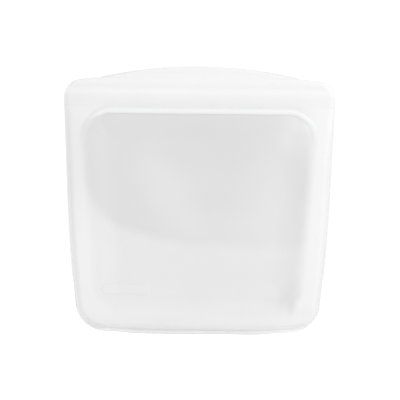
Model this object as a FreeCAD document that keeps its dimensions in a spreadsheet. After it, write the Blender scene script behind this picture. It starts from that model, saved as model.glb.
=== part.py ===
import FreeCAD, Part
import math
import os
import re

import Sketcher
from FreeCAD import Placement, Rotation, Vector

# A reusable silicone food bag, standing upright with its mouth at the top.
# X runs along the mouth, the front of the bag faces -Y and Z is up. The origin is
# the middle of the foot that the bag stands on. Lengths are in millimetres.
#
# The bag is two moulded walls bonded round three edges. Each wall is a thick border
# that frames a thin frosted window, with a raised bead round the window, a lip above
# it and a pull tab at the top. The front wall carries two seal rails and the back wall
# the rib that is pinched between them.

DIMENSIONS = {
    # Outline of the bag seen from the front: corner points before rounding.
    "toe_across": 40,
    "toe_round": 300,
    "base_across": 83.8,
    "base_up": 2.6,
    "base_round": 21,
    "belly_across": 90.4,
    "belly_up": 63,
    "belly_round": 900,
    "brow_across": 95.6,
    "brow_up": 176,
    "brow_round": 13,
    "crown_across": 70,
    "crown_up": 179,
    "crown_round": 310,
    # Where the bottom gusset ends and the two walls begin.
    "gusset_height": 6,
    "gusset_end": 77.9,
    "gusset_bend_across": 84.75,
    "gusset_bend_up": 11.5,
    "gusset_bend_round": 20,
    "gusset_floor": 2,
    "foot_half_depth": 7.5,
    "joint_gap": 0.1,
    # Depth of the walls: the front plane leans back towards the mouth.
    "front_depth": 11.4,
    "front_lean": 2.1,
    "bulge_depth": 7.4,
    "bulge_lean": 1.2,
    "bulge_inset": 1.6,
    "front_inset": 6.5,
    "skin": 1.8,
    # Side seams, where the two walls are bonded together.
    "seam_thick": 3,
    "seam_low_across": 72.9,
    "seam_mid_across": 84.9,
    "seam_turn_across": 89.4,
    "seam_turn_up": 162,
    "seam_top_across": 83,
    # Space between the walls.
    "cavity_inset": 5.5,
    "cavity_front_inset": 8.3,
    "cavity_top": 156.5,
    # Window in each wall.
    "window_low_across": 70.8,
    "window_low_up": 17.4,
    "window_top_across": 81.6,
    "window_top_up": 154.6,
    "window_round": 18,
    "panel_recess": 0.8,
    "panel_thick": 1,
    "bead_offset": 0.5,
    "bead_width": 2.6,
    "bead_height": 1,
    "bead_fillet": 0.45,
    # Plain raised pill on the front window, low on the left.
    "pill_centre_across": -50,
    "pill_centre_up": 30.5,
    "pill_length": 34,
    "pill_width": 6.5,
    "pill_height": 0.4,
    # Lips and pull tabs above the window.
    "lip_bottom": 158.8,
    "lip_low_depth": 5.6,
    "lip_waist_up": 168,
    "lip_waist_depth": 4.2,
    "lip_top_depth": 3.8,
    "tab_depth": 3.4,
    # Press seal: a rib pinched between two rails, with a stop at each end.
    "seal_half_length": 79,
    "seal_reach": 2.9,
    "rail_thick": 1.2,
    "lower_rail_up": 165,
    "upper_rail_up": 169.2,
    "rib_thick": 2.3,
    "rib_up": 166.55,
    "rib_nose": 0.8,
    "stop_inner_across": 80,
    "stop_top_up": 175,
    "stop_thick": 2.8,
}

# Size of the plain blank round the whole bag. What lies between it and the outline is
# cut away from a piece.
BLANK_HALF_WIDTH = 120
BLANK_HEIGHT = 200
BLANK_DEPTH = 60

PREFIXED = {alias: "dims." + alias for alias in DIMENSIONS}
HALF_TURN = Rotation(Vector(0, 0, 1), 180)

doc = FreeCAD.newDocument("silicone_bag")
sheet = doc.addObject("Spreadsheet::Sheet", "dims")


def fill_sheet():
    for row, (alias, value) in enumerate(DIMENSIONS.items(), 1):
        sheet.set(f"A{row}", alias)
        sheet.set(f"B{row}", str(value))
        sheet.setAlias(f"B{row}", alias)
    doc.recompute()


def cell(expression):
    """Present value of an expression on the sheet."""
    return float(sheet.evalExpression(expression))


def dims(text):
    """Turn 'alias + other' into an expression that other objects can be bound to."""
    return re.sub(r"[a-z_]+", lambda word: PREFIXED.get(word[0], word[0]), text)


# ---------------------------------------------------------------- sketch helpers


def new_body(name):
    body = doc.addObject("PartDesign::Body", name)
    body.Label = name
    return body


def sketch_on(body, role, name, distance="0", lean=None):
    """Sketch parallel to an origin plane, moved along its normal and leaned back."""
    plane = next(item for item in body.Origin.OriginFeatures if item.Role == role)
    sketch = body.newObject("Sketcher::SketchObject", name)
    sketch.AttachmentSupport = [(plane, "")]
    sketch.MapMode = "FlatFace"
    sketch.AttachmentOffset = Placement(Vector(0, 0, 0), Rotation(Vector(1, 0, 0), -1))
    sketch.setExpression("AttachmentOffset.Base.z", dims(distance))
    angle = f"-{dims(lean)} * 1 deg" if lean else "0 deg"
    sketch.setExpression("AttachmentOffset.Rotation.Angle", angle)
    return sketch


def bind(sketch, constraint, name, text):
    index = sketch.addConstraint(constraint)
    sketch.renameConstraint(index, name)
    sketch.setExpression(f"Constraints.{name}", dims(text))


def pin_corner(sketch, tag, across, up):
    """Construction point held at a distance from the origin on each axis."""
    place = Vector(cell(dims(across)), cell(dims(up)), 0)
    point = sketch.addGeometry(Part.Point(place), True)
    bind(sketch, Sketcher.Constraint("DistanceX", -1, 1, point, 1, place.x), f"across_{tag}", across)
    if up == "0":
        sketch.addConstraint(Sketcher.Constraint("PointOnObject", point, 1, -1))
    else:
        bind(sketch, Sketcher.Constraint("DistanceY", -1, 1, point, 1, place.y), f"up_{tag}", up)
    return point, place


def mirror_corner(sketch, point, place):
    """Construction point that mirrors another one across the vertical axis."""
    other = Vector(-place.x, place.y, 0)
    twin = sketch.addGeometry(Part.Point(other), True)
    sketch.addConstraint(Sketcher.Constraint("Symmetric", point, 1, twin, 1, -2))
    return twin, other


def corner_arc(before, corner, after, radius):
    """Arc that rounds a convex corner of a loop drawn anticlockwise."""
    inward = (before - corner).normalize()
    outward = (after - corner).normalize()
    turn = math.pi - inward.getAngle(outward)
    setback = radius * math.tan(turn / 2)
    start = corner + inward * setback
    end = corner + outward * setback
    centre = start + Vector(inward.y, -inward.x, 0) * radius
    first = math.atan2(start.y - centre.y, start.x - centre.x)
    circle = Part.Circle(centre, Vector(0, 0, 1), radius)
    return Part.ArcOfCircle(circle, first, first + turn), start, end


def crown_arc(start, end, radius):
    """Arc over the top of the bag, from one shoulder to the other."""
    centre = Vector(0, start.y - math.sqrt(radius ** 2 - start.x ** 2), 0)
    first = math.atan2(start.y - centre.y, start.x)
    circle = Part.Circle(centre, Vector(0, 0, 1), radius)
    return Part.ArcOfCircle(circle, first, math.pi - first)


def draw_loop(sketch, tag, corners, mirrored=True, crown=None):
    """Closed loop through corners given as (across, up, rounding) expressions.

    The corners run anticlockwise. A mirrored loop is given by its right half from the
    bottom to the top. A crown radius replaces the loop's top edge by an arc.
    """
    pins = []
    for index, (across, up, rounding) in enumerate(corners):
        point, place = pin_corner(sketch, f"{tag}{index}", across, up)
        pins.append((point, place, rounding))
    if mirrored:
        for point, place, rounding in reversed(pins[:]):
            pins.append((*mirror_corner(sketch, point, place), rounding))

    count = len(pins)
    arcs = {}
    starts = []
    ends = []
    for index, (point, place, rounding) in enumerate(pins):
        starts.append(place)
        ends.append(place)
        if rounding:
            radius = cell(dims(rounding))
            before = pins[index - 1][1]
            after = pins[(index + 1) % count][1]
            arc, starts[index], ends[index] = corner_arc(before, place, after, radius)
            arcs[index] = sketch.addGeometry(arc, False)
            name = f"round_{tag}{index}"
            bind(sketch, Sketcher.Constraint("Radius", arcs[index], radius), name, rounding)

    for index, (point, _, _) in enumerate(pins):
        following = (index + 1) % count
        if crown and index == len(corners) - 1:
            radius = cell(dims(crown))
            edge = sketch.addGeometry(crown_arc(ends[index], starts[following], radius), False)
            bind(sketch, Sketcher.Constraint("Radius", edge, radius), f"crown_{tag}", crown)
        else:
            edge = sketch.addGeometry(Part.LineSegment(ends[index], starts[following]), False)
        join_edge(sketch, edge, 1, arcs.get(index), 2, point)
        join_edge(sketch, edge, 2, arcs.get(following), 1, pins[following][0])


def join_edge(sketch, edge, edge_end, arc, arc_end, point):
    """Fix one end of an edge to its corner, through the corner's arc if it has one."""
    if arc is None:
        sketch.addConstraint(Sketcher.Constraint("Coincident", edge, edge_end, point, 1))
    else:
        sketch.addConstraint(Sketcher.Constraint("PointOnObject", point, 1, edge))
        sketch.addConstraint(Sketcher.Constraint("Tangent", edge, edge_end, arc, arc_end))


def draw_blank(sketch):
    """Plain rectangle round the whole bag, the outer edge of what a trim removes."""
    points = [
        Vector(-BLANK_HALF_WIDTH, -BLANK_HALF_WIDTH, 0),
        Vector(BLANK_HALF_WIDTH, -BLANK_HALF_WIDTH, 0),
        Vector(BLANK_HALF_WIDTH, BLANK_HEIGHT, 0),
        Vector(-BLANK_HALF_WIDTH, BLANK_HEIGHT, 0),
    ]
    first = sketch.GeometryCount
    for index, start in enumerate(points):
        sketch.addGeometry(Part.LineSegment(start, points[(index + 1) % 4]), False)
    for index in range(4):
        edge = first + index
        following = first + (index + 1) % 4
        sketch.addConstraint(Sketcher.Constraint("Coincident", edge, 2, following, 1))
        sketch.addConstraint(Sketcher.Constraint("Block", edge))


# --------------------------------------------------------------- feature helpers


def pad(body, sketch, name, length, symmetric=False, inward=False):
    feature = body.newObject("PartDesign::Pad", name)
    feature.Profile = sketch
    feature.SideType = "Symmetric" if symmetric else "One side"
    feature.Reversed = inward
    feature.setExpression("Length", dims(length))
    doc.recompute()
    return feature


def pocket(body, sketch, name, length, symmetric=False):
    """Pocket that stops the build if it removes nothing."""
    before = body.Shape.Volume
    feature = body.newObject("PartDesign::Pocket", name)
    feature.Profile = sketch
    feature.SideType = "Symmetric" if symmetric else "One side"
    feature.setExpression("Length", dims(length))
    doc.recompute()
    if body.Shape.Volume > before - 1e-3:
        raise RuntimeError(f"{body.Label}: {name} removed nothing")
    return feature


def loft(body, sketches, name, kind="PartDesign::AdditiveLoft", ruled=False):
    feature = body.newObject(kind, name)
    feature.Profile = sketches[0]
    feature.Sections = sketches[1:]
    feature.Ruled = ruled
    doc.recompute()
    return feature


def trim_to_outline(body):
    """Remove what stands outside the bag's outline."""
    sketch = sketch_on(body, "XZ_Plane", body.Label + "_outline")
    draw_blank(sketch)
    draw_loop(sketch, "o", OUTLINE, crown="crown_round")
    doc.recompute()
    pocket(body, sketch, body.Label + "_trim", str(BLANK_DEPTH), symmetric=True)


# --------------------------------------------------------------------- outlines

OUTLINE = [
    ("toe_across", "0", "toe_round"),
    ("base_across", "base_up", "base_round"),
    ("belly_across", "belly_up", "belly_round"),
    ("brow_across", "brow_up", "brow_round"),
    ("crown_across", "crown_up", None),
]

# Height of the shoulder line where the side seams end.
SEAM_TOP_UP = (
    "( crown_up - ( crown_up - brow_up ) * ( seam_top_across - crown_across )"
    " / ( brow_across - crown_across ) )"
)


def wall_corners(inset, top):
    """Right half of a wall's section, moved in from the outline by an inset."""
    bottom = "gusset_height + joint_gap"
    side_slope = "( brow_across - belly_across ) / ( brow_up - belly_up )"
    return [
        (f"gusset_end - {inset}", bottom, None),
        (f"gusset_bend_across - {inset}", "gusset_bend_up", "gusset_bend_round"),
        (f"belly_across - {inset}", "belly_up", "belly_round"),
        (f"belly_across - {inset} + ( {top} - belly_up ) * {side_slope}", top, None),
    ]


def window_corners(offset="0"):
    """Right half of the window, grown by an offset."""
    rounding = f"window_round + {offset}"
    return [
        (f"window_low_across + {offset}", f"window_low_up - {offset}", rounding),
        (f"window_top_across + {offset}", f"window_top_up + {offset}", rounding),
    ]


def box_corners(low_across, low_up, high_across, high_up):
    """Plain rectangle, anticlockwise."""
    return [
        (low_across, low_up, None),
        (high_across, low_up, None),
        (high_across, high_up, None),
        (low_across, high_up, None),
    ]


# ------------------------------------------------------------- root: gusset, seams


def bottom_gusset():
    """Shallow tray that the bag stands on and that spreads its two walls apart."""
    body = new_body("bottom_gusset")
    wall_depth = "front_depth - gusset_height * sin( front_lean * 1 deg )"
    outer = [
        ("0", "foot_half_depth", "base_across - foot_half_depth", "foot_half_depth - 1"),
        ("gusset_height", wall_depth, "gusset_end", wall_depth + " - 1"),
    ]
    sections = []
    for index, (up, depth, across, rounding) in enumerate(outer):
        sketch = sketch_on(body, "XY_Plane", f"gusset_outside_{index}", up)
        corners = [(across, f"-( {depth} )", rounding), (across, depth, rounding)]
        draw_loop(sketch, "g", corners)
        sections.append(sketch)
    loft(body, sections, "gusset_body", ruled=True)
    trim_to_outline(body)

    inner = [
        ("gusset_floor", "foot_half_depth - skin", "toe_across + base_up * 5"),
        ("gusset_height + joint_gap", f"{wall_depth} - skin", "gusset_end - cavity_inset"),
    ]
    sections = []
    for index, (up, depth, across) in enumerate(inner):
        sketch = sketch_on(body, "XY_Plane", f"gusset_inside_{index}", up)
        rounding = f"( {depth} ) * 0.6"
        corners = [(across, f"-( {depth} )", rounding), (across, depth, rounding)]
        draw_loop(sketch, "g", corners)
        sections.append(sketch)
    loft(body, sections, "gusset_tray", "PartDesign::SubtractiveLoft", ruled=True)
    return body


def side_seam(name, turned):
    """Bonded strip down one side, from the gusset to the top corner."""
    body = new_body(name)
    sketch = sketch_on(body, "XZ_Plane", name + "_strip")
    corners = [
        ("seam_low_across", "gusset_height", None),
        ("gusset_end", "gusset_height", None),
        ("gusset_bend_across", "gusset_bend_up", "gusset_bend_round"),
        ("belly_across", "belly_up", "belly_round"),
        ("brow_across", "brow_up", "brow_round"),
        ("seam_top_across", SEAM_TOP_UP, None),
        ("seam_turn_across", "seam_turn_up", None),
        ("seam_mid_across", "belly_up", None),
    ]
    draw_loop(sketch, "s", corners, mirrored=False)
    pad(body, sketch, name + "_pad", "seam_thick", symmetric=True)
    if turned:
        body.Placement = Placement(Vector(0, 0, 0), HALF_TURN)
    return body


def seal_stop(name, turned):
    """Block that closes the end of the press seal against the side seam."""
    body = new_body(name)
    sketch = sketch_on(body, "XZ_Plane", name + "_block")
    slope = f"( seam_turn_across - seam_top_across ) / ( {SEAM_TOP_UP} - seam_turn_up )"
    outer_top = f"seam_turn_across - ( stop_top_up - seam_turn_up ) * {slope}"
    corners = [
        ("stop_inner_across", "seam_turn_up", None),
        ("seam_turn_across", "seam_turn_up", None),
        (outer_top, "stop_top_up", None),
        ("stop_inner_across", "stop_top_up", None),
    ]
    draw_loop(sketch, "s", corners, mirrored=False)
    pad(body, sketch, name + "_pad", "stop_thick", symmetric=True)
    if turned:
        body.Placement = Placement(Vector(0, 0, 0), HALF_TURN)
    return body


# --------------------------------------------------------------- the two walls
# Each function builds a piece of the front wall. The back wall's twin is the same
# piece turned half round about Z.


def frame_piece(name):
    """Thick border round the window, hollow behind."""
    body = new_body(name)
    back_plane = "seam_thick / 2 + joint_gap"
    outside = []
    planes = [
        ("back", back_plane, None, "0"),
        ("bulge", "bulge_depth", "bulge_lean", "bulge_inset"),
        ("front", "front_depth", "front_lean", "front_inset"),
    ]
    for label, depth, lean, inset in planes:
        sketch = sketch_on(body, "XZ_Plane", f"{name}_{label}", depth, lean)
        draw_loop(sketch, "w", wall_corners(inset, "lip_bottom"))
        outside.append(sketch)
    loft(body, outside, name + "_border")

    inside = []
    hollow = [
        ("mouth", back_plane, None, "cavity_inset"),
        ("floor", "front_depth - skin", "front_lean", "cavity_front_inset"),
    ]
    for label, depth, lean, inset in hollow:
        sketch = sketch_on(body, "XZ_Plane", f"{name}_{label}", depth, lean)
        draw_loop(sketch, "w", wall_corners(inset, "cavity_top"))
        inside.append(sketch)
    loft(body, inside, name + "_hollow", "PartDesign::SubtractiveLoft", ruled=True)

    opening = sketch_on(body, "XZ_Plane", name + "_opening", "front_depth", "front_lean")
    draw_loop(opening, "v", window_corners())
    doc.recompute()
    pocket(body, opening, name + "_window", "skin + 1")
    return body


def panel_piece(name):
    """Thin frosted sheet that fills the window."""
    body = new_body(name)
    face = "front_depth - panel_recess"
    sketch = sketch_on(body, "XZ_Plane", name + "_sheet", face, "front_lean")
    draw_loop(sketch, "v", window_corners())
    pad(body, sketch, name + "_pad", "panel_thick", inward=True)
    return body


def bead_piece(name):
    """Raised bead on the border, all round the window."""
    body = new_body(name)
    sketch = sketch_on(body, "XZ_Plane", name + "_ring", "front_depth", "front_lean")
    draw_loop(sketch, "i", window_corners("bead_offset"))
    draw_loop(sketch, "o", window_corners("( bead_offset + bead_width )"))
    ring = pad(body, sketch, name + "_pad", "bead_height")
    crest = cell("dims.front_depth + dims.bead_height")
    lean = math.radians(cell("dims.front_lean"))
    raised = []
    for number, edge in enumerate(ring.Shape.Edges, 1):
        height = crest * math.cos(lean)
        depths = [-v.Y * math.cos(lean) + v.Z * math.sin(lean) for v in edge.Vertexes]
        if all(abs(depth - height) < 0.02 for depth in depths):
            raised.append(f"Edge{number}")
    fillet = body.newObject("PartDesign::Fillet", name + "_fillet")
    fillet.Base = (ring, raised)
    fillet.setExpression("Radius", "dims.bead_fillet")
    doc.recompute()
    return body


def strip_piece(name, section):
    """Strip along the mouth with the given section, trimmed to the bag's outline."""
    body = new_body(name)
    sketch = sketch_on(body, "YZ_Plane", name + "_section")
    draw_loop(sketch, "l", section, mirrored=False)
    pad(body, sketch, name + "_pad", "2 * brow_across + 4", symmetric=True)
    trim_to_outline(body)
    return body


def lip_piece(name):
    """Upper band of a wall, from the border to the shoulders."""
    inner = "-( seam_thick / 2 + joint_gap )"
    section = [
        ("-lip_low_depth", "lip_bottom", None),
        (inner, "lip_bottom", None),
        (inner, "crown_up", None),
        ("-lip_top_depth", "crown_up", None),
        ("-lip_waist_depth", "lip_waist_up", None),
    ]
    return strip_piece(name, section)


def tab_piece(name):
    """Pull tab: the arched crown above the shoulders."""
    inner = "-( seam_thick / 2 + joint_gap )"
    crown_top = "crown_up + crown_round - sqrt( crown_round ^ 2 - crown_across ^ 2 ) + 1"
    return strip_piece(name, box_corners("-tab_depth", "crown_up", inner, crown_top))


def seal_bar(name, up, thickness, nose=None, turned=False):
    """Straight bar of the press seal, reaching across the mouth from a lip."""
    body = new_body(name)
    sketch = sketch_on(body, "YZ_Plane", name + "_section")
    inner = "-( seam_thick / 2 + joint_gap )"
    tip = f"{inner} + seal_reach"
    corners = [
        (inner, up, None),
        (tip, up, nose),
        (tip, f"{up} + {thickness}", nose),
        (inner, f"{up} + {thickness}", None),
    ]
    draw_loop(sketch, "b", corners, mirrored=False)
    pad(body, sketch, name + "_pad", "2 * seal_half_length", symmetric=True)
    if turned:
        body.Placement = Placement(Vector(0, 0, 0), HALF_TURN)
    return body


def label_pill():
    """Plain raised pill on the front window."""
    body = new_body("front_label_pad")
    face = "front_depth - panel_recess"
    sketch = sketch_on(body, "XZ_Plane", "pill_outline", face, "front_lean")
    half_length = "pill_length / 2"
    half_width = "pill_width / 2"
    rounding = "pill_width * 0.48"
    corners = []
    for sign_x, sign_z in (("-", "-"), ("+", "-"), ("+", "+"), ("-", "+")):
        across = f"pill_centre_across {sign_x} {half_length}"
        up = f"pill_centre_up {sign_z} {half_width}"
        corners.append((across, up, rounding))
    draw_loop(sketch, "p", corners, mirrored=False)
    pad(body, sketch, "pill_pad", "pill_height")
    return body


def wall(side):
    """Five pieces that both walls have, turned half round for the back wall."""
    pieces = [
        frame_piece(f"{side}_frame"),
        panel_piece(f"{side}_panel"),
        bead_piece(f"{side}_window_bead"),
        lip_piece(f"{side}_lip"),
        tab_piece(f"{side}_pull_tab"),
    ]
    if side == "back":
        for body in pieces:
            body.Placement = Placement(Vector(0, 0, 0), HALF_TURN)
    return pieces


def check_document():
    for item in doc.Objects:
        if "Invalid" in item.State or "Error" in item.State:
            raise RuntimeError(f"{item.Label} failed: {item.State}")


def export(bodies):
    os.makedirs("parts", exist_ok=True)
    for body in bodies:
        shape = body.Shape
        if shape.isNull() or not shape.isValid():
            raise RuntimeError(f"{body.Label} has no valid shape")
        shape.exportStep(f"parts/{body.Label}.step")
        print(f"{body.Label}: {len(shape.Solids)} solid, {shape.Volume / 1000:.2f} cm3")


def main():
    fill_sheet()
    bodies = [
        bottom_gusset(),
        side_seam("right_side_seam", turned=False),
        side_seam("left_side_seam", turned=True),
        seal_stop("right_seal_stop", turned=False),
        seal_stop("left_seal_stop", turned=True),
        *wall("front"),
        seal_bar("lower_seal_rail", "lower_rail_up", "rail_thick"),
        seal_bar("upper_seal_rail", "upper_rail_up", "rail_thick"),
        label_pill(),
        *wall("back"),
        seal_bar("seal_rib", "rib_up", "rib_thick", nose="rib_nose", turned=True),
    ]
    doc.recompute()
    check_document()
    export(bodies)


main()
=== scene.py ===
import math

import bmesh
import bpy
import numpy as np
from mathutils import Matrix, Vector


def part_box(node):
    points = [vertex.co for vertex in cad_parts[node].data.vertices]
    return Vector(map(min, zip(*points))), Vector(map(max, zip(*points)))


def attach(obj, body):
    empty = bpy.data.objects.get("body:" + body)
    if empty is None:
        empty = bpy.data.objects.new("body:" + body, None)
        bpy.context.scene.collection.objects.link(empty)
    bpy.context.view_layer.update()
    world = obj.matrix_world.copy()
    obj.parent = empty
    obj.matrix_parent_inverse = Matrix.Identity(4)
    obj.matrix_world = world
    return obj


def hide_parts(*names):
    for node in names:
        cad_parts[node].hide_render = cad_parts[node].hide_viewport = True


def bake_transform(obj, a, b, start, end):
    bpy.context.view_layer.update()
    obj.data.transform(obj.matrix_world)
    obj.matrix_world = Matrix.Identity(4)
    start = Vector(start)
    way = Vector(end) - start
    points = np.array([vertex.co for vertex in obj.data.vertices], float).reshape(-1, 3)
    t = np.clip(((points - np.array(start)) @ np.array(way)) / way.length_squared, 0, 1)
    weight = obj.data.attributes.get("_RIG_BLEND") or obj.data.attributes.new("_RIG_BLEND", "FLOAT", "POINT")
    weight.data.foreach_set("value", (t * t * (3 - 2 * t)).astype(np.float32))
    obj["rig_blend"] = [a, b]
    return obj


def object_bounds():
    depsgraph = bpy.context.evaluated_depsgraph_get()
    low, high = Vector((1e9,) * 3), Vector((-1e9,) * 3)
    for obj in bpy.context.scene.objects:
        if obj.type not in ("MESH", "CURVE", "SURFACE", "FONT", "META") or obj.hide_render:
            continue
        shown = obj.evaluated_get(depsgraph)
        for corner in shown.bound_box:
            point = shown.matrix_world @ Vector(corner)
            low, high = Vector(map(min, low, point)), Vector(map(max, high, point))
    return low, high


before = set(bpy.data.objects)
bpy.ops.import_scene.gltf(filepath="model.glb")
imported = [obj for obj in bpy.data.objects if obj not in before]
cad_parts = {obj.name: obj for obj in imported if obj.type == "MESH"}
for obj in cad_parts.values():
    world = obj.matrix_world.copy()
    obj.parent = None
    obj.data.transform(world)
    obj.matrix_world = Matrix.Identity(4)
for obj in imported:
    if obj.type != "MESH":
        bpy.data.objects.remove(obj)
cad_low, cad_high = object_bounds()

# A reusable silicone food bag, upright and empty. X runs along the mouth, the front
# faces -Y and Z is up. Shapes are worked out in millimetres and made in metres.
MM = 0.001


def box_mm(node):
    """Lowest and highest corner of a CAD node, in millimetres."""
    low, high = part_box(node)
    return low / MM, high / MM


# Heights and depths that come from the frame.
HALF_WIDTH = cad_high.x / MM
FOOT_TOP = box_mm("bottom_gusset")[1].z
LIP_LOW = box_mm("front_lip")[0].z
CROWN_FOOT = box_mm("front_lip")[1].z
CROWN_HALF = box_mm("front_pull_tab")[1].x
WINDOW_LOW = box_mm("front_panel")[0].z
WINDOW_HIGH = box_mm("front_panel")[1].z
SEAM_HALF = box_mm("left_side_seam")[1].y
WALL_BACK = -box_mm("front_lip")[1].y
RAIL_HALF = box_mm("upper_seal_rail")[1].x

# Outline of the bag from the front, its right half from the bottom to the top:
# corner across, corner up, rounding radius. The shoulder's rounding takes a little off
# the width, so its corner stands that much past it.
CROWN_ROUND = 310
SHOULDER_HEIGHT = 176
SHOULDER_PAST = 0.56
OUTLINE_CORNERS = [
    (40, 0, 300),
    (83.8, 2.6, 21),
    (90.4, 63, 900),
    (HALF_WIDTH + SHOULDER_PAST, SHOULDER_HEIGHT, 13),
    (CROWN_HALF, CROWN_FOOT, 0),
]
WINDOW_ROUND = 18
WINDOW_CORNERS = [
    (70.8, WINDOW_LOW, WINDOW_ROUND),
    (81.6, WINDOW_HIGH, WINDOW_ROUND),
]
ARC_STEP = math.radians(3)

# The front plane of a wall: its depth at the foot and how fast it leans back.
PLANE_DEPTH = 11.4
PLANE_LEAN = math.tan(math.radians(2.1))

# A narrow flange runs along the outline, and the wall rises behind it in a curve. The
# flange is wider under the foot and the curve tighter by as much.
FLANGE_WIDTH = 1.1
FLANGE_DEPTH = 0.5
CURVE_RUN = 4.8
FOOT_EXTRA = 1.6
MOUTH_TIGHTER = 1.3

# Half depth of the foot inside its flange, width of the bonded strip inside the sides,
# thicknesses, and how far the lips come together over the seal.
FOOT_DEPTH = 8.4
BOND_WIDTH = 5.5
WALL_THICK = 1.8
WINDOW_SHEET = 1.0
LIPS_CLOSE = 1.53
TRAY_FLOOR = 2.2

# The bead's cross-section: where it starts and ends, outwards from the window, and its
# height over the window. Lower down its sides it fades.
BEAD_START = -1.5
BEAD_END = 3.2
BEAD_HEIGHT = 0.6

# Pill: middle across and up, half length, half width, height.
PILL = (-50, 30.5, 17, 3.25, 0.25)

# How far pieces run under their neighbours, how deep an overlapped part is sunk, and
# the offset that keeps a laid-on piece from sharing a surface with what it lies on.
UNDERLAP = 0.7
SUNK = 0.12
SKIN_OFFSET = 0.02


# ------------------------------------------------------------------ plane outlines


def smoothstep(low, high, value):
    """0 below low, 1 above high and smooth between them."""
    share = np.clip((value - low) / (high - low), 0, 1)
    return share * share * (3 - 2 * share)


def edge_rise(distance, run):
    """Quarter ellipse: 0 at the edge, 1 from run inwards."""
    share = np.clip(distance / run, 0, 1)
    return np.sqrt(1 - (1 - share) ** 2)


def corner_points(before, corner, after, radius, spacing, step):
    """Points on the arc that rounds a corner, and their outward normals."""
    inward = (before - corner) / np.linalg.norm(before - corner)
    outward = (after - corner) / np.linalg.norm(after - corner)
    turn = math.pi - math.acos(np.clip(inward @ outward, -1, 1))
    start = corner + inward * radius * math.tan(turn / 2)
    centre = start + np.array([inward[1], -inward[0]]) * radius
    first = math.atan2(start[1] - centre[1], start[0] - centre[0])
    count = max(2, math.ceil(turn / step), math.ceil(radius * turn / spacing))
    angles = first + np.linspace(0, turn, count + 1)
    normals = np.stack([np.cos(angles), np.sin(angles)], 1)
    return centre + radius * normals, normals


def closed_loop(corners, spacing, step, crown=0):
    """Rounded outline from its right half, anticlockwise, with outward normals."""
    right = [np.array([x, z], float) for x, z, _ in corners]
    left = [point * (-1, 1) for point in reversed(right)]
    loop = right + left
    radii = [r for _, _, r in corners] + [r for _, _, r in reversed(corners)]
    pieces = []
    for index, corner in enumerate(loop):
        if radii[index]:
            after = loop[(index + 1) % len(loop)]
            before, radius = loop[index - 1], radii[index]
            pieces.append(corner_points(before, corner, after, radius, spacing, step))
        else:
            pieces.append((corner[None], None))
    points, normals = [], []
    for index, (piece, piece_normals) in enumerate(pieces):
        following = pieces[(index + 1) % len(pieces)][0]
        start, end = piece[-1], following[0]
        side = (end - start) / np.linalg.norm(end - start)
        normal = np.array([side[1], -side[0]])
        points.append(piece)
        normals.append(normal[None] if piece_normals is None else piece_normals)
        count = max(1, round(np.linalg.norm(end - start) / spacing))
        shares = np.linspace(0, 1, count + 1)[1:-1, None]
        if crown and index == len(corners) - 1:
            drop = math.sqrt(crown ** 2 - start[0] ** 2)
            half_angle = math.asin(start[0] / crown)
            angles = half_angle * (1 - 2 * shares[:, 0])
            ray = np.stack([np.sin(angles), np.cos(angles)], 1)
            points.append(ray * crown + (0, start[1] - drop))
            normals.append(ray)
        else:
            points.append(start + (end - start) * shares)
            normals.append(np.repeat(normal[None], len(shares), 0))
    return np.concatenate(points), np.concatenate(normals)


def clip_loop(points, level, keep_above):
    """Part of a loop of points above or below a level, closed along that level."""
    side = (points[:, 1] - level) * (1 if keep_above else -1)
    kept = []
    for index, point in enumerate(points):
        following = (index + 1) % len(points)
        if side[index] >= 0:
            kept.append(point)
        if side[index] * side[following] < 0:
            share = side[index] / (side[index] - side[following])
            kept.append(point + (points[following] - point) * share)
    return np.array(kept)


def nearest_on(loop, x, z):
    """Distance from each (x, z) to a closed loop, and the loop's outward normal there."""
    edge = np.roll(loop, -1, 0) - loop
    squared = (edge ** 2).sum(1)
    outward = np.stack([edge[:, 1], -edge[:, 0]], 1) / np.sqrt(squared)[:, None]
    corner = outward + np.roll(outward, 1, 0)
    x, z = np.broadcast_arrays(x, z)
    flat = np.stack([x.ravel(), z.ravel()], 1)
    distance = np.empty(len(flat))
    normal = np.empty((len(flat), 2))
    for begin in range(0, len(flat), 4000):
        rel = flat[begin : begin + 4000, None] - loop[None]
        share = np.clip((rel * edge).sum(2) / squared, 0, 1)
        gap = np.linalg.norm(rel - share[..., None] * edge, axis=2)
        best = gap.argmin(1)
        rows = np.arange(len(best))
        along = share[rows, best][:, None]
        distance[begin : begin + 4000] = gap[rows, best]
        normal[begin : begin + 4000] = (
            corner[best] * (1 - along) + corner[(best + 1) % len(loop)] * along
        )
    normal /= np.linalg.norm(normal, axis=1)[:, None]
    return distance.reshape(x.shape), normal.reshape((*x.shape, 2))


def cast(points, rays, loop):
    """Where rays from points inside a convex loop leave it."""
    start, end = loop, np.roll(loop, -1, 0)
    edge = end - start
    rel = start[None] - points[:, None]
    cross = rays[:, None, 0] * edge[None, :, 1] - rays[:, None, 1] * edge[None, :, 0]
    cross = np.where(np.abs(cross) < 1e-12, 1e-12, cross)
    along = (rel[..., 0] * edge[None, :, 1] - rel[..., 1] * edge[None, :, 0]) / cross
    on_edge = (rel[..., 0] * rays[:, None, 1] - rel[..., 1] * rays[:, None, 0]) / cross
    hit = (along > -1e-9) & (on_edge > -1e-9) & (on_edge < 1 + 1e-9)
    reach = np.where(hit, along, np.inf).min(1)
    return points + rays * reach[:, None]


# The window's outline is made twice: finely for meshes, and with single points at the
# ends of its straights for distances.
OUTLINE, _ = closed_loop(OUTLINE_CORNERS, spacing=4, step=ARC_STEP, crown=CROWN_ROUND)
WINDOW, WINDOW_NORMALS = closed_loop(WINDOW_CORNERS, spacing=1.6, step=ARC_STEP)
WINDOW_EDGE, _ = closed_loop(WINDOW_CORNERS, spacing=200, step=ARC_STEP)


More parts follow.
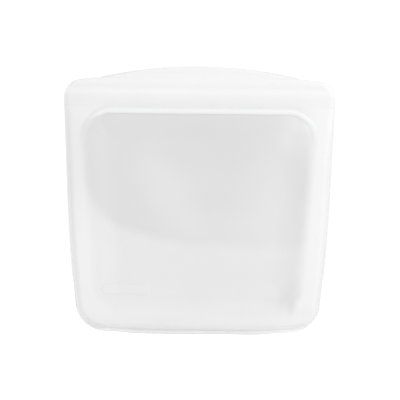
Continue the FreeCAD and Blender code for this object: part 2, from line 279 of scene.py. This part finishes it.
def outline_half_width(z):
    """Half the bag's width at a height below the crown."""
    below_crown = OUTLINE[:, 1] < SHOULDER_HEIGHT + 0.5
    side = OUTLINE[(OUTLINE[:, 0] > 0) & below_crown]
    side = side[side[:, 1].argsort()]
    return np.interp(z, side[:, 1], side[:, 0])


def outline_top(x):
    """Height of the bag's top edge at a place across."""
    top = OUTLINE[OUTLINE[:, 1] > 160]
    top = top[top[:, 0].argsort()]
    return np.interp(x, top[:, 0], top[:, 1])


def window_half_width(z):
    """Half the window's width at a height, and at its ends the width of its straights."""
    side = WINDOW[WINDOW_NORMALS[:, 0] > 0.01]
    side = side[side[:, 1].argsort()]
    return np.interp(z, side[:, 1], side[:, 0])


# ------------------------------------------------------------------ wall surface

# Valley over the window: how far its bottom lies outside the window's outline, how far
# it reaches upwards and down to the bead, and its depth.
VALLEY_PLACE = 3.4
VALLEY_ABOVE = 3.4
VALLEY_BELOW = 1.2
VALLEY_DEPTH = 1.1

# Waves in the window: across, up, half width, half height, how far they stand out.
SHEET_WAVES = [
    (-44, 110, 26, 34, 0.5),
    (-12, 74, 20, 22, -0.45),
    (22, 104, 16, 34, 0.4),
    (-40, 52, 36, 12, -0.35),
    (40, 60, 24, 30, -0.3),
    (2, 34, 40, 10, 0.25),
]


def plane_depth(z):
    """Depth of the wall's front plane."""
    return PLANE_DEPTH - z * PLANE_LEAN


def inside_window(x, z):
    """Distance inwards from the window's outline, negative on the border."""
    distance, normal = nearest_on(WINDOW_EDGE, x, z)
    inside = (np.abs(x) < window_half_width(z)) & (z > WINDOW_LOW) & (z < WINDOW_HIGH)
    return np.where(inside, distance, -distance), normal


def by_direction(normal, side, top, bottom):
    """Value for the window's sides, top and bottom, blended round its corners."""
    upper = smoothstep(0.55, 0.95, normal[..., 1])
    lower = smoothstep(0.4, 0.95, -normal[..., 1])
    return side * (1 - upper - lower) + top * upper + bottom * lower


def window_sink(inside, normal):
    """How far the surface lies behind the border: a sharp step along the window's top
    and long soft slopes at its sides and bottom."""
    inwards = by_direction(normal, side=18.0, top=1.8, bottom=16.0)
    outwards = by_direction(normal, side=2.5, top=0.2, bottom=6.0)
    depth = 0.5 + 1.5 * smoothstep(0, 22, inside)
    return depth * smoothstep(-outwards, inwards, inside)


def top_valley(inside, normal):
    """Valley between the lip and the bead over the window: 1 at its bottom, reached by
    a slow slope from above and a steep one from the bead."""
    top = smoothstep(0.5, 0.95, normal[..., 1])
    below = inside + VALLEY_PLACE
    share = np.where(below < 0, -below / VALLEY_ABOVE, below / VALLEY_BELOW)
    return top * np.exp(-(share ** 1.3))


def sheet_waves(x, z, inside):
    """Slow waves in the thin window, where it has been pulled and has relaxed."""
    total = 0
    for across, up, wide, tall, height in SHEET_WAVES:
        bump = np.exp(-(((x - across) / wide) ** 2) - ((z - up) / tall) ** 2)
        total = total + height * bump
    return total * smoothstep(2, 20, inside)


def rim_depth(x, z):
    """Depth of a wall at the bag's outline: wide at the foot, thin elsewhere."""
    foot = (1 - smoothstep(62, 84, np.abs(x))) * (z < 40)
    return WALL_BACK + FLANGE_DEPTH + (FOOT_DEPTH - WALL_BACK) * foot


def mouth_depth(z):
    """Section of the lip and crown: a soft swelling, a ledge over the seal and a brim
    that thins towards the crown."""
    rise = z - LIP_LOW
    swell = 1.1 * smoothstep(0, 8.5, rise)
    ledge = 1.5 * smoothstep(8.6, 12.4, rise)
    brim = 0.25 * smoothstep(12.8, 16, rise)
    taper = 1.5 * smoothstep(15.5, 23, rise)
    return plane_depth(LIP_LOW) + swell - ledge + brim - taper


def rim_shape(normal, z):
    """Width of the flange along the outline, and of the curve that rises behind it. The
    mouth has no flange."""
    foot = smoothstep(0.5, 0.95, -normal[..., 1])
    mouth = smoothstep(148, 168, z)
    flange = FLANGE_WIDTH * (1 - mouth) + FOOT_EXTRA * foot
    return flange, CURVE_RUN - FOOT_EXTRA * foot - MOUTH_TIGHTER * mouth


def wall_depth(x, z):
    """Depth of the wall's outer surface, from the foot to the crown."""
    distance, normal = nearest_on(OUTLINE, x, z)
    inside, facing = inside_window(x, z)
    sheet = plane_depth(z) - window_sink(inside, facing) + sheet_waves(x, z, inside)
    full = np.where(z > LIP_LOW, mouth_depth(z), sheet)
    full = full - VALLEY_DEPTH * top_valley(inside, facing)
    flange, run = rim_shape(normal, z)
    rim = rim_depth(x, z)
    round_off = FLANGE_DEPTH * (1 - edge_rise(distance, 0.5))
    return rim - round_off + (full - rim) * edge_rise(distance - flange, run)


def hollow_depth(x, z):
    """Depth of the wall's inner surface, flat where the walls are bonded."""
    side = outline_half_width(z) - np.abs(x)
    rise = edge_rise(side - BOND_WIDTH, 6) * edge_rise(WINDOW_HIGH + 2 - z, 4)
    full = wall_depth(x, z) - WALL_THICK
    return WALL_BACK + (full - WALL_BACK) * rise


# ------------------------------------------------------------------- whiteness
# Thick silicone scatters more light than thin, so it looks whiter. Each vertex carries
# its whiteness, which the material turns into a colour: 0 is black and 1 is white. The
# whiteness also holds painted light and shade: on the rims, along the foot, in the valley
# over the bead and round the bead inside the window.
BORDER_TONE = 0.885
WINDOW_TONE = 0.74

# Upper edge of the window's slack part, from left to right: across, up.
SLACK_EDGE = [(-80, 101), (-69, 85), (-58, 75), (-34, 67), (-9, 63), (70, 61)]

# Soft patches of tone: change, centre, half size, degrees turned.
TAUT_CLOUDS = [
    (0.034, (-21, 98), (30, 14), -58),
    (0.034, (57, 78), (22, 42), 12),
    (0.024, (20, 72), (34, 14), 0),
]
# Window patches, mostly painted light and shade: lighter at the upper right along the bead and at the lower
# left, darker in a band under the bead and in the lower right corner. The one at (28, 120) is a darker cloud
# in the sheet.
WINDOW_PAINTED_LIGHT_AND_CLOUD = [
    (0.045, (67, 137), (13, 12), 0),
    (0.05, (70, 151), (15, 9), -25),
    (0.03, (-76, 46), (16, 36), 0),
    (-0.02, (6, 135), (42, 18), 0),
    (-0.012, (28, 120), (16, 18), 0),
    (-0.035, (62, 21), (6, 15), -12),
]
# Painted shade on the border: darker on its upper left and in bands along the foot.
BORDER_PAINTED_SHADE = [
    (-0.05, (-90, 125), (20, 44), 0),
    (-0.035, (0, 8), (75, 12), 0),
    (-0.022, (45, 16), (40, 5), 0),
]
# Painted shadow of the bead, a dark streak in the window's lower right corner.
PAINTED_BEAD_SHADOW = [(-0.075, (65.4, 19), (3, 5.5), -13)]

# The blend from border to window is this much shorter round its lower right corner.
SHARP_CORNER = [(-4, (67, 20), (13, 13), 0)]


def soft_spot(x, z, centre, size, turn):
    """Soft ellipse, 1 at its centre, turned anticlockwise in degrees."""
    angle = math.radians(turn)
    across, up = x - centre[0], z - centre[1]
    u = (across * math.cos(angle) + up * math.sin(angle)) / size[0]
    v = (up * math.cos(angle) - across * math.sin(angle)) / size[1]
    return np.exp(-(u ** 2 + v ** 2) ** 1.5)


def patches(x, z, table):
    """Sum of the soft patches in a table."""
    total = 0
    for change, centre, size, turn in table:
        total = total + change * soft_spot(x, z, centre, size, turn)
    return total


def window_whiteness(x, z, inside):
    """Cloudy sheet: darker where it hangs free, whiter low down where it is slack, with
    patches of painted light and shade and a painted shadow of the bead along its right side."""
    across, up = zip(*SLACK_EDGE)
    blur = 5 + 4 * smoothstep(58, 72, -x)
    slack = 1 - smoothstep(-1, 1, (z - np.interp(x, across, up)) / blur)
    tone = WINDOW_TONE + (0.074 - 0.01 * smoothstep(-36, 4, x)) * slack
    tone = tone + patches(x, z, TAUT_CLOUDS) * (1 - slack) + patches(x, z, WINDOW_PAINTED_LIGHT_AND_CLOUD)
    # Painted shadow of the bead: a dark band a little inside the window's right edge, below its upper
    # corner.
    bead_shadow_side = smoothstep(40, 60, x) * (1 - smoothstep(95, 130, z))
    return tone - 0.02 * bead_shadow_side * np.exp(-(((inside - 6) / 3.5) ** 2))


def border_whiteness(x, z):
    """Even border, a little whiter towards the right as painted light, with patches of
    painted shade, and tones along the outline: whiter where the walls are bonded, and on top
    of that painted light on the left and bottom rims and the foot's lower slope, and painted
    shade on the right rim and just above the foot's slope."""
    # A little whiter towards the right: painted light. The patches are painted shade.
    tone = BORDER_TONE + 0.004 * smoothstep(20, 90, x) + patches(x, z, BORDER_PAINTED_SHADE)
    distance, normal = nearest_on(OUTLINE, x, z)
    left = np.maximum(-normal[..., 0], 0)
    right = np.maximum(normal[..., 0], 0)
    under = np.maximum(-normal[..., 1], 0)
    slope = np.exp(-((distance - 2.7) / 1.5) ** 2)
    top_of_slope = np.exp(-(distance - 5) ** 2)
    bonded = (1 - smoothstep(0, 3, distance)) * (normal[..., 1] < 0.7)
    corners = smoothstep(30, 70, -x) + 1.8 * smoothstep(30, 70, x)
    # Painted shade on the right rim's slope, fading out towards the top.
    tone -= 0.05 * right * slope * (1 - smoothstep(130, 150, z))
    # Painted light on the foot's lower slope, most at its corners, and painted shade just above it.
    tone += (0.055 + 0.045 * corners) * under * slope
    tone -= 0.015 * under * top_of_slope
    # Whiter where the walls are bonded, and in that band painted light on the left and bottom rims and
    # painted shade on the right rim.
    return tone + (0.035 + 0.09 * left - 0.05 * right + 0.03 * under) * bonded


def whiteness(x, z):
    """Tone of the silicone: the border's, blended into the window's over a width that
    changes round the window, with painted shade in the valley over the bead and a painted
    shadow of the bead in the window's lower right corner."""
    inside, normal = inside_window(x, z)
    high_right = smoothstep(0, 40, x) * smoothstep(110, 135, z)
    high_left = smoothstep(0, 40, -x) * smoothstep(75, 100, z)
    side_run = 4.5 + 2.5 * high_right - 1.7 * high_left
    inwards = by_direction(normal, side=side_run, top=1.4, bottom=9.0)
    inwards = inwards + patches(x, z, SHARP_CORNER)
    outwards = by_direction(normal, side=4.0 + 1.3 * high_left, top=-0.6, bottom=5.0)
    share = smoothstep(-outwards, inwards, inside)
    # Painted shade in the valley between the lip and the bead.
    border_tone = border_whiteness(x, z) - 0.03 * top_valley(inside, normal)
    window_tone = window_whiteness(x, z, inside)
    tone = border_tone + (window_tone - border_tone) * share
    return tone + patches(x, z, PAINTED_BEAD_SHADOW)


# ------------------------------------------------------------------- mesh helpers

# In metres: points closer than this are merged, and edges shorter than this dissolved.
MERGE = 2e-6
SHORTEST_EDGE = 1e-6
SHARP_ANGLE = math.radians(42)


def finish_mesh(name, verts, faces):
    """Closed, smooth mesh object from points in millimetres."""
    mesh = bpy.data.meshes.new(name)
    mesh.from_pydata([tuple(v) for v in np.asarray(verts) * MM], [], faces)
    work = bmesh.new()
    work.from_mesh(mesh)
    bmesh.ops.remove_doubles(work, verts=work.verts, dist=MERGE)
    bmesh.ops.dissolve_degenerate(work, edges=work.edges, dist=SHORTEST_EDGE)
    bmesh.ops.recalc_face_normals(work, faces=work.faces)
    work.to_mesh(mesh)
    work.free()
    mesh.shade_smooth()
    mesh.set_sharp_from_angle(angle=SHARP_ANGLE)
    points = np.array([vertex.co for vertex in mesh.vertices]) / MM
    tone = mesh.attributes.new("whiteness", "FLOAT", "POINT")
    shade = whiteness(points[:, 0], points[:, 2])
    tone.data.foreach_set("value", shade.astype(np.float32))
    piece = bpy.data.objects.new(name, mesh)
    bpy.context.scene.collection.objects.link(piece)
    return piece


def tube(name, sections, closed):
    """Mesh from sections of equal length, closed into a ring or capped at its ends."""
    sections = np.asarray(sections, float)
    count, size = sections.shape[:2]
    faces = []
    for row in range(count if closed else count - 1):
        here, ahead = row * size, (row + 1) % count * size
        for col in range(size):
            side = (col + 1) % size
            faces.append((here + col, here + side, ahead + side, ahead + col))
    if not closed:
        faces.append(tuple(range(size)))
        faces.append(tuple(range((count - 1) * size, count * size)))
    return finish_mesh(name, sections.reshape(-1, 3), faces)


def slab(name, front, back):
    """Closed mesh between two grids of points of equal size."""
    rows, cols = front.shape[:2]
    verts = np.concatenate([front.reshape(-1, 3), back.reshape(-1, 3)])
    offset = rows * cols
    faces = []
    for row in range(rows - 1):
        for col in range(cols - 1):
            a = row * cols + col
            quad = (a, a + 1, a + cols + 1, a + cols)
            faces.append(quad)
            faces.append(tuple(offset + v for v in reversed(quad)))
    rim = list(range(cols))
    rim += [row * cols + cols - 1 for row in range(1, rows)]
    rim += [(rows - 1) * cols + col for col in range(cols - 2, -1, -1)]
    rim += [row * cols for row in range(rows - 2, 0, -1)]
    for index, a in enumerate(rim):
        b = rim[(index + 1) % len(rim)]
        faces.append((a, a + offset, b + offset, b))
    return finish_mesh(name, verts, faces)


def points3(x, depth, z):
    """Points of the front wall from their place across, depth and height."""
    return np.stack(np.broadcast_arrays(x, -np.asarray(depth, float), z), -1)


def spread(count, ends):
    """Shares from 0 to 1, closer together at both ends the larger ends is."""
    even = np.linspace(0, 1, count)
    eased = (1 - np.cos(np.pi * even)) / 2
    return even + (eased - even) * ends


# ------------------------------------------------------------------ wall pieces

# Top of the lip under the crown.
LIP_LEVEL = CROWN_FOOT - 0.4


def border_stations():
    """Points on the window's outline, and where rays from them leave the border: at the
    bag's outline, just inside it along the foot, or just past the foot of the lip."""
    high = LIP_LOW + UNDERLAP
    edge = clip_loop(OUTLINE, high, False)
    points, rays = WINDOW.copy(), WINDOW_NORMALS.copy()
    for corner in edge[np.abs(edge[:, 1] - high) < 1e-6]:
        gaps = np.linalg.norm(points - corner, axis=1)
        nearest = gaps.argmin()
        rays[nearest] = (corner - points[nearest]) / gaps[nearest]
    ends = cast(points, rays, edge)
    along_foot = 1 - smoothstep(FOOT_TOP - 2, FOOT_TOP, ends[:, 1:])
    return points, ends - 0.3 * rays * along_foot


def rim_rows(points):
    """Distances from the outline that catch the flange and the curve behind it."""
    _, normal = nearest_on(OUTLINE, points[:, 0], points[:, 1])
    flange, run = rim_shape(normal, points[:, 1])
    edge = np.tile([0, 0.08, 0.25, 0.5], (len(points), 1))
    curve = 1 - np.cos(np.linspace(0, math.pi / 2, 11))
    return np.concatenate([edge, flange[:, None] + run[:, None] * curve], 1)


def border(name):
    """Thick rounded border round the window. Its edges that run under the lip and into
    the gusset are sunk, so that no two surfaces coincide."""
    inner, outer = border_stations()
    length = np.linalg.norm(inner - outer, axis=1)[:, None]
    near = rim_rows(outer)
    near = near * np.minimum(1, 0.7 * length / near[:, -1:])
    share = 1 - (1 - np.linspace(0, 1, 15)[1:][None]) ** 1.6
    far = near[:, -1:] + (length - near[:, -1:]) * share
    away = np.concatenate([near, far], 1) / length
    x = outer[:, :1] + (inner[:, :1] - outer[:, :1]) * away
    z = outer[:, 1:] + (inner[:, 1:] - outer[:, 1:]) * away
    beyond = np.maximum(z - LIP_LOW, FOOT_TOP - z)
    sunk = SUNK * smoothstep(-0.4, UNDERLAP, beyond) + 0.7 * smoothstep(UNDERLAP, 2.5, beyond)
    depth = wall_depth(x, z) - sunk
    outside = points3(x, depth, z)
    hollow = hollow_depth(x, z) + SUNK * smoothstep(-0.4, UNDERLAP, z - LIP_LOW)
    inside = points3(x, np.minimum(hollow, depth), z)
    return tube(name, np.concatenate([outside, inside[:, ::-1]], 1), closed=True)


def window_grid():
    """Rows of points over the window, closer together in its corners and edges."""
    height = WINDOW_HIGH - WINDOW_LOW
    corner = WINDOW_ROUND * (1 - np.cos(np.linspace(0, math.pi / 2, 22)))
    middle = np.linspace(WINDOW_ROUND, height - WINDOW_ROUND, 70)[1:-1]
    rise = np.concatenate([corner, middle, height - corner[::-1]])
    z = (WINDOW_LOW + rise)[:, None]
    across = 2 * spread(110, 0.55)[None] - 1
    return across * window_half_width(z), z + 0 * across


def window(name):
    """Thin frosted sheet inside the border."""
    x, z = window_grid()
    depth = wall_depth(x, z)
    return slab(name, points3(x, depth, z), points3(x, depth - WINDOW_SHEET, z))


def bead(name):
    """Rounded bead just outside the window, bold at the top and gone at the bottom."""
    count = 17
    offsets = np.linspace(BEAD_START, BEAD_END, count)
    lift = np.sin(np.linspace(0, math.pi, count)) ** 0.7
    sections = []
    for point, normal in zip(WINDOW, WINDOW_NORMALS):
        strength = smoothstep(WINDOW_HIGH - 30, WINDOW_HIGH - 3, point[1]) ** 1.5
        x = point[0] + normal[0] * offsets
        z = point[1] + normal[1] * offsets
        base = wall_depth(x, z)
        top = points3(x, base + BEAD_HEIGHT * strength * lift - SKIN_OFFSET, z)
        bottom = points3(x[::-1], base[::-1] - 0.4, z[::-1])
        sections.append(np.concatenate([top, bottom]))
    return tube(name, sections, closed=True)


def lip_edge(x):
    """Top of the lip: the shoulders, and level under the crown."""
    return np.minimum(outline_top(x), LIP_LEVEL)


def lip(name):
    """Band above the window, from the valley over the bead to the shoulders."""
    half = float(outline_half_width(LIP_LOW + 2))
    x = (half * (2 * spread(150, 0.8) - 1))[None]
    up = spread(48, 0.3)[:, None]
    z = LIP_LOW + (lip_edge(x) - LIP_LOW) * up
    gap = lip_edge(x) - z
    seat = 0.6 * (1 - edge_rise(gap, 0.8)) * crown_end(x)
    inner = inner_face(x, z)
    depth = np.maximum(wall_depth(x, z) - seat, inner)
    return slab(name, points3(x, depth, z), points3(x + 0 * z, inner, z))


def crown_end(x):
    """1 near the ends of the crown, where it stands clear of the lip, 0 elsewhere."""
    across = np.abs(x)
    return smoothstep(46, 60, across) * (across < CROWN_HALF)


def inner_face(x, z):
    """Depth of a lip's inner face: the lips meet above the press seal."""
    closing = smoothstep(171, 176, z) * (1 - smoothstep(78, 85, np.abs(x)))
    return WALL_BACK - LIPS_CLOSE * closing


def pull_tab(name, drop):
    """Arched crown above the lip, cut below the outline by a drop that is full towards
    its ends. The front crown has one, so that the back crown's edge shows there."""
    half = CROWN_HALF - 0.6 - 2 * drop
    x = (half * (2 * spread(110, 0.8) - 1))[None]
    up = spread(22, 0.7)[:, None]
    low = LIP_LEVEL - UNDERLAP
    arch = outline_top(x) - drop * (0.15 + 0.85 * smoothstep(36, 58, np.abs(x)))
    z = low + np.maximum(arch - low, 0.02) * up
    sunk = SUNK * (1 - smoothstep(0, 1.2, z - low))
    seat = 0.4 * (1 - edge_rise(z - LIP_LEVEL, 0.8)) * crown_end(x)
    inner = inner_face(x, z) + sunk
    depth = inner + (mouth_depth(z) - sunk - seat - inner) * edge_rise(arch - z, 1.8)
    return slab(name, points3(x, depth, z), points3(x + 0 * z, inner, z))


def pill(name):
    """Plain raised pill low on the left of the front window."""
    centre_x, centre_z, half_length, half_width, height = PILL
    v = np.sin(np.linspace(-math.pi / 2, math.pi / 2, 25))[:, None]
    straight = half_length - half_width
    reach = straight + half_width * np.sqrt(1 - v ** 2)
    u = 2 * spread(61, 0.8)[None] - 1
    x = centre_x + u * reach
    z = centre_z + v * half_width + 0 * u
    inward = np.minimum(half_width * (1 - np.abs(v)), reach * (1 - np.abs(u)))
    base = wall_depth(x, z)
    front = points3(x, base + height * edge_rise(inward, 1.6) - SKIN_OFFSET, z)
    return slab(name, front, points3(x, base - 0.3, z))


def seal_bar(name, node):
    """Bar of the press seal with a rounded nose, along the whole mouth. It stands on
    the wall that its node lies nearer."""
    low, high = box_mm(node)
    root = WALL_BACK * (-1 if abs(low.y) > abs(high.y) else 1)
    tip = high.y if root < 0 else low.y
    middle, half = (low.z + high.z) / 2, (high.z - low.z) / 2
    angles = np.linspace(-math.pi / 2, math.pi / 2, 9)
    nose = math.copysign(min(half, 0.9), tip - root)
    y = np.concatenate([[root], tip - nose + nose * np.cos(angles), [root]])
    z = np.concatenate([[middle - half], middle + half * np.sin(angles), [middle + half]])
    sections = []
    for x in np.linspace(-RAIL_HALF, RAIL_HALF, 121):
        sections.append(np.stack([np.full(len(y), x), y, z], 1))
    return tube(name, sections, closed=False)


# ------------------------------------------------------------------ root pieces


def resample(path, count):
    """Path through the same points with evenly spaced ones."""
    steps = np.linalg.norm(np.diff(path, axis=0), axis=1)
    order = np.concatenate([[0], np.cumsum(steps)])
    along = np.linspace(0, order[-1], count)
    return np.stack([np.interp(along, order, path[:, k]) for k in (0, 1)], 1)


def gusset(name):
    """Tray between the two walls, with the flat underside that the bag stands on."""
    loop = clip_loop(OUTLINE, FOOT_TOP, False)
    path = resample(loop[loop[:, 0].argsort()], count=170)
    _, normal = nearest_on(OUTLINE, path[:, 0], path[:, 1])
    length = (FOOT_TOP - path[:, 1:]) / -normal[:, 1:]
    away = np.minimum(rim_rows(path), length)
    away[:, -1:] = length
    x = path[:, :1] - normal[:, :1] * away
    z = path[:, 1:] - normal[:, 1:] * away
    depth = wall_depth(x, z)
    hollow = np.maximum(depth[:, -1:] - WALL_THICK, 0)
    floor = np.minimum(TRAY_FLOOR, length)
    floor_x = path[:, :1] - normal[:, :1] * floor
    floor_z = path[:, 1:] - normal[:, 1:] * floor
    floor_y = np.minimum(hollow, depth[:, :1] - 0.5)
    top_x, top_z = x[:, -1:], z[:, -1:]
    ring_x = [x[:, ::-1], x, top_x, floor_x, floor_x, top_x]
    ring_y = [-depth[:, ::-1], depth, hollow, floor_y, -floor_y, -hollow]
    ring_z = [z[:, ::-1], z, top_z, floor_z, floor_z, top_z]
    ring = [np.concatenate(part, 1) for part in (ring_x, ring_y, ring_z)]
    return tube(name, np.stack(ring, -1), closed=False)


def side_seam(name, sign):
    """Bonded strip down one side, level with the outline, with softened edges. Its top
    end dips between the lips, where they meet."""
    loop = clip_loop(OUTLINE, FOOT_TOP - UNDERLAP, True)
    path = resample(loop[(loop[:, 0] > 74) & (loop[:, 1] > 5)], count=160)
    tangent = np.gradient(path, axis=0)
    tangent /= np.linalg.norm(tangent, axis=1)[:, None]
    inward = np.stack([-tangent[:, 1], tangent[:, 0]], 1)
    dip = 0.9 * (1 - smoothstep(75, 83, path[:, :1])) * (path[:, 1:] > LIP_LOW)
    path = path + inward * dip
    soft, width, half = 0.5, 5, SEAM_HALF + 0.2
    bends = np.linspace(0, math.pi / 2, 5)
    edge = soft * (1 - np.sin(bends))
    away = np.concatenate([edge, edge[::-1], [width, width]])
    y = half - soft + soft * np.cos(bends)
    y = np.concatenate([y, -y[::-1], [-half, half]])
    sections = []
    for point, normal in zip(path, inward):
        place = point + normal * away[:, None]
        sections.append(np.stack([sign * place[:, 0], y, place[:, 1]], 1))
    return tube(name, sections, closed=False)


def seal_stop(name, node):
    """Small block that closes the end of the press seal."""
    low, high = box_mm(node)
    soft = 0.5
    sections = []
    for x in (low.x, low.x + soft, high.x - soft, high.x):
        inset = soft if x in (low.x, high.x) else 0
        y = np.array([low.y + inset, high.y - inset, high.y - inset, low.y + inset])
        z = np.array([low.z + inset, low.z + inset, high.z - inset, high.z - inset])
        sections.append(np.stack([np.full(4, x), y, z], 1))
    return tube(name, sections, closed=False)


# -------------------------------------------------------------------- materials


def node(tree, kind, **inputs):
    """New shader node with its inputs set, where _ stands for a space in their names."""
    made = tree.nodes.new(kind)
    for key, value in inputs.items():
        made.inputs[key.replace("_", " ")].default_value = value
    return made


def noise(tree, place, scale, detail, roughness):
    """Output of a noise texture laid out by the place."""
    made = node(tree, "ShaderNodeTexNoise", Scale=scale, Detail=detail, Roughness=roughness)
    tree.links.new(place, made.inputs["Vector"])
    return made.outputs["Fac"]


def silicone(name, roughness, grain, lift=0.0):
    """Frosted silicone: its whiteness, which holds painted light and shade as well as its tone, a faint
    cloudiness, and a fine matte grain.
    """
    material = bpy.data.materials.new(name)
    material.use_nodes = True
    tree = material.node_tree
    shader = tree.nodes["Principled BSDF"]
    shader.inputs["IOR"].default_value = 1.41
    shader.inputs["Subsurface Weight"].default_value = 0.08
    shader.inputs["Subsurface Radius"].default_value = (1.0, 0.95, 0.9)
    shader.inputs["Subsurface Scale"].default_value = 0.0015

    place = tree.nodes.new("ShaderNodeTexCoord").outputs["Object"]
    tone = tree.nodes.new("ShaderNodeAttribute")
    tone.attribute_name = "whiteness"
    clouds = node(tree, "ShaderNodeMapRange", To_Min=lift - 0.012, To_Max=lift + 0.012)
    cloud = noise(tree, place, scale=45, detail=2.0, roughness=0.45)
    tree.links.new(cloud, clouds.inputs["Value"])
    shade = tree.nodes.new("ShaderNodeMath")
    shade.operation = "ADD"
    tree.links.new(tone.outputs["Fac"], shade.inputs[0])
    tree.links.new(clouds.outputs["Result"], shade.inputs[1])
    tree.links.new(shade.outputs["Value"], shader.inputs["Base Color"])

    polish = node(tree, "ShaderNodeMapRange", To_Min=roughness - 0.06, To_Max=roughness + 0.08)
    worn = noise(tree, place, scale=90, detail=4.0, roughness=0.6)
    tree.links.new(worn, polish.inputs["Value"])
    tree.links.new(polish.outputs["Result"], shader.inputs["Roughness"])

    fine = node(tree, "ShaderNodeBump", Strength=grain, Distance=0.00006)
    matte = noise(tree, place, scale=1800, detail=2.0, roughness=0.5)
    tree.links.new(matte, fine.inputs["Height"])
    tree.links.new(fine.outputs["Normal"], shader.inputs["Normal"])
    return material


def pale_floor(name):
    """White floor that glows to the eye, so that the bag's shadow on it hardly shows."""
    material = bpy.data.materials.new(name)
    material.use_nodes = True
    tree = material.node_tree
    shader = tree.nodes["Principled BSDF"]
    shader.inputs["Base Color"].default_value = (0.9, 0.9, 0.9, 1)
    shader.inputs["Roughness"].default_value = 0.9
    shader.inputs["Emission Color"].default_value = (1, 1, 1, 1)
    seen = tree.nodes.new("ShaderNodeLightPath").outputs["Is Camera Ray"]
    tree.links.new(seen, shader.inputs["Emission Strength"])
    return material


# ---------------------------------------------------------------- putting together

# A wall bends from the middle out to here, and its edges past here stay put.
BEND_HALF = 88


def open_with(piece, body):
    """The wall bows out: the bag's sides stay with the seams and its middle swings."""
    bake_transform(piece, "root", body, start=(cad_high.x, 0, 0), end=(0, 0, 0))
    across = np.array([vertex.co.x for vertex in piece.data.vertices]) / MM
    weight = smoothstep(0, 1, 1 - np.abs(across) / BEND_HALF)
    attribute = piece.data.attributes["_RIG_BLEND"]
    attribute.data.foreach_set("value", weight.astype(np.float32))


def turn_round(piece):
    """Turn a piece half round about Z."""
    for vertex in piece.data.vertices:
        vertex.co.x *= -1
        vertex.co.y *= -1


def turned_twin(piece, name):
    """Copy of a front wall's piece, turned half round to make the back wall's."""
    twin = bpy.data.objects.new(name, piece.data.copy())
    bpy.context.scene.collection.objects.link(twin)
    turn_round(twin)
    return twin


def dress(piece, node_name, material, body):
    """Give a piece its material, the node that it shows and the body that it moves with."""
    piece.data.materials.append(material)
    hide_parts(node_name)
    if body == "root":
        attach(piece, body)
    else:
        open_with(piece, body)


def build_bag():
    milky = silicone("border_silicone", roughness=0.42, grain=0.25)
    brim = silicone("lip_silicone", roughness=0.4, grain=0.2)
    frosted = silicone("window_silicone", roughness=0.5, grain=0.5)
    glossy = silicone("seal_silicone", roughness=0.3, grain=0.1)
    marked = silicone("pad_silicone", roughness=0.45, grain=0.3, lift=0.012)

    walls = [
        (border("front_border"), "frame", milky, "border_silicone"),
        (window("front_window"), "panel", frosted, "window_silicone"),
        (bead("front_bead"), "window_bead", milky, "border_silicone"),
        (lip("front_mouth_lip"), "lip", brim, "lip_silicone"),
    ]
    for piece, part, material, slot_name in walls:
        twin = turned_twin(piece, piece.name.replace("front", "back"))
        dress(piece, f"front_{part}", material, "front_wall")
        dress(twin, f"back_{part}", material, "back_wall")
    crown = pull_tab("front_crown", 0.7)
    dress(crown, "front_pull_tab", brim, "front_wall")
    crown = pull_tab("back_crown", 0)
    turn_round(crown)
    dress(crown, "back_pull_tab", brim, "back_wall")
    dress(pill("plain_pill"), "front_label_pad", marked, "front_wall")

    bars = [
        ("lower_seal_rail", "front_wall"),
        ("upper_seal_rail", "front_wall"),
        ("seal_rib", "back_wall"),
    ]
    for bar, body in bars:
        dress(seal_bar(f"{bar}_bar", bar), bar, glossy, body)

    dress(gusset("foot_gusset"), "bottom_gusset", milky, "root")
    for side, sign in (("left", -1), ("right", 1)):
        seam = side_seam(f"{side}_seam_strip", sign)
        dress(seam, f"{side}_side_seam", milky, "root")
        stop = seal_stop(f"{side}_stop_block", f"{side}_seal_stop")
        dress(stop, f"{side}_seal_stop", glossy, "root")


def build_floor():
    bpy.ops.mesh.primitive_plane_add(size=3, location=(0, 0, -0.0004))
    floor = bpy.context.object
    floor.name = "floor"
    floor.data.materials.append(pale_floor("pale_floor"))


def build_world():
    """White surroundings that light the bag evenly and look a little brighter."""
    world = bpy.data.worlds.new("studio")
    bpy.context.scene.world = world
    world.use_nodes = True
    tree = world.node_tree
    sky = tree.nodes["Background"]
    sky.inputs["Color"].default_value = (1, 1, 1, 1)
    sky.inputs["Strength"].default_value = 0.89
    seen = tree.nodes.new("ShaderNodeBackground")
    seen.inputs["Color"].default_value = (1, 1, 1, 1)
    seen.inputs["Strength"].default_value = 1.05
    mix = tree.nodes.new("ShaderNodeMixShader")
    path = tree.nodes.new("ShaderNodeLightPath")
    tree.links.new(path.outputs["Is Camera Ray"], mix.inputs["Fac"])
    tree.links.new(sky.outputs["Background"], mix.inputs[1])
    tree.links.new(seen.outputs["Background"], mix.inputs[2])
    tree.links.new(mix.outputs["Shader"], tree.nodes["World Output"].inputs["Surface"])


def add_light(name, place, aim, size, power):
    """Round area light turned to face its aim."""
    data = bpy.data.lights.new(name, "AREA")
    data.shape = "DISK"
    data.size = size
    data.energy = power
    light = bpy.data.objects.new(name, data)
    light.location = place
    light.rotation_euler = (Vector(aim) - Vector(place)).to_track_quat("-Z", "Y").to_euler()
    bpy.context.scene.collection.objects.link(light)


def build_camera():
    """Long lens straight at the front, rolled a little because the photo is."""
    data = bpy.data.cameras.new("camera")
    data.lens = 270
    data.sensor_width = 36
    camera = bpy.data.objects.new("camera", data)
    shown_width = 0.28
    distance = shown_width * data.lens / data.sensor_width
    aim = Vector((0.0009, 0, (cad_low.z + cad_high.z) / 2))
    camera.location = aim - Vector((0, distance, 0))
    roll = math.radians(-0.6)
    camera.rotation_euler = (math.pi / 2, roll, 0)
    bpy.context.scene.collection.objects.link(camera)
    bpy.context.scene.camera = camera


build_bag()
build_floor()
build_world()
add_light("key", place=(0.9, -0.9, 0.8), aim=(0, 0, 0.1), size=0.7, power=4.2)
build_camera()
bpy.context.scene.view_settings.view_transform = "Standard"
